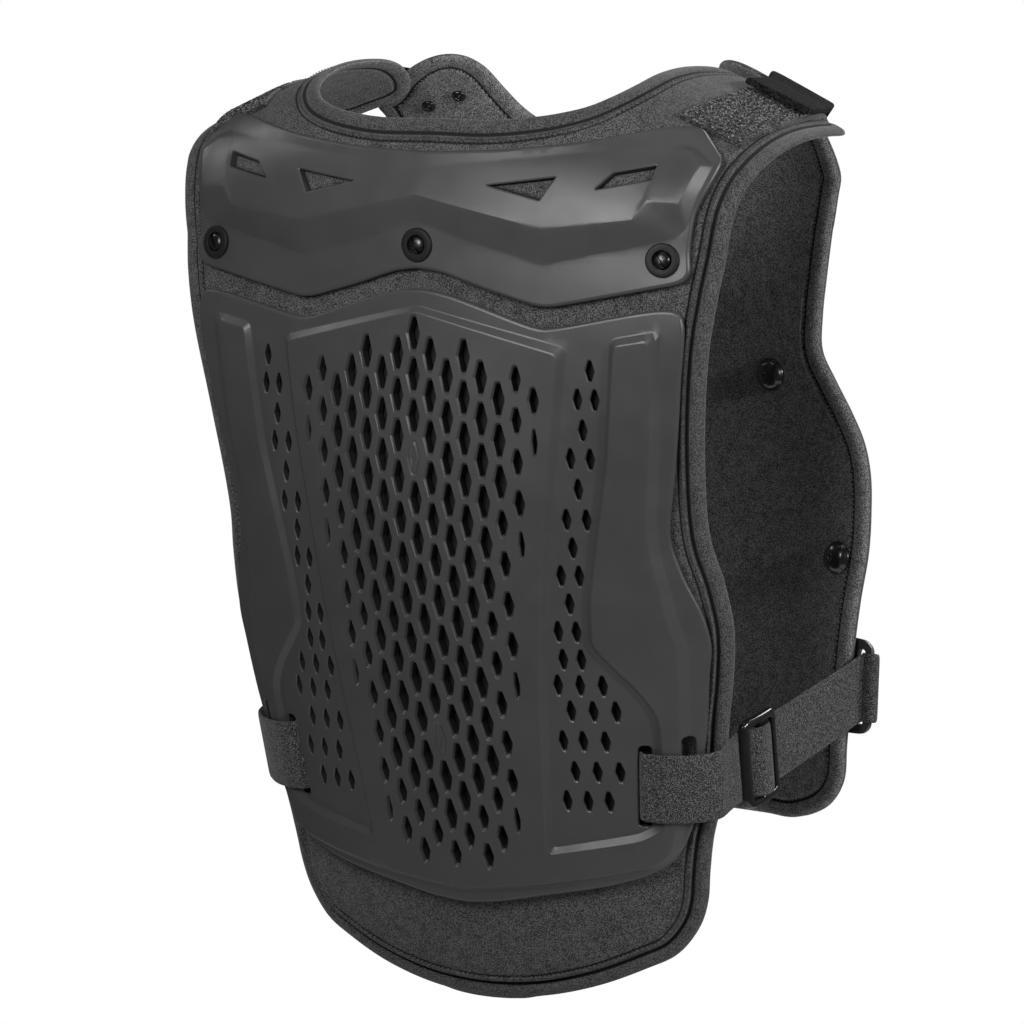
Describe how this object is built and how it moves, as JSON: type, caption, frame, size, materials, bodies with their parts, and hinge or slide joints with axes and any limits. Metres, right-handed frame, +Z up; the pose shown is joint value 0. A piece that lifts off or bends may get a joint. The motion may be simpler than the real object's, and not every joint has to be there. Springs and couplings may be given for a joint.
{
  "type": "motorcycle armour vest",
  "caption": "Sleeveless armour vest: padded front and back panels with moulded chest and back plates, shoulder hook tabs and elastic side straps.",
  "frame": {"origin": "midway between the shoulders, at the height where the straps rest on them", "axes": "+Z up as worn, -Y to the front of the chest, +X to the wearer's left"},
  "size_m": [0.3534, 0.26, 0.5034],
  "materials": {
    "panel_fabric": "dark charcoal heathered knit, padded",
    "moulded_plate": "matte charcoal moulded plastic with soft edges",
    "loop_pile": "fuzzy loop pile, salt and pepper",
    "hook_tab": "dark hook tape on webbing",
    "webbing": "grey heathered woven elastic",
    "gloss_fitting": "glossy black",
    "dark_metal": "dark plated metal"
  },
  "bodies": {
    "root": {"front_panel": "panel_fabric", "back_panel": "panel_fabric", "chest_plate": "moulded_plate", "chest_yoke": "moulded_plate", "back_plate": "moulded_plate", "yoke_washer_left": "gloss_fitting", "yoke_screw_left": "dark_metal", "yoke_washer_middle": "gloss_fitting", "yoke_screw_middle": "dark_metal", "yoke_washer_right": "gloss_fitting", "yoke_screw_right": "dark_metal", "loop_patch_left": "loop_pile", "shoulder_tab_left": "hook_tab", "side_strap_left": "webbing", "strap_slider_left": "gloss_fitting", "tab_rivet_inner_left": "dark_metal", "tab_rivet_outer_left": "dark_metal", "back_stud_upper_left": "gloss_fitting", "back_stud_lower_left": "gloss_fitting", "loop_patch_right": "loop_pile", "shoulder_tab_right": "hook_tab", "side_strap_right": "webbing", "strap_slider_right": "gloss_fitting", "tab_rivet_inner_right": "dark_metal", "tab_rivet_outer_right": "dark_metal", "back_stud_upper_right": "gloss_fitting", "back_stud_lower_right": "gloss_fitting"}
  },
  "joints": []
}
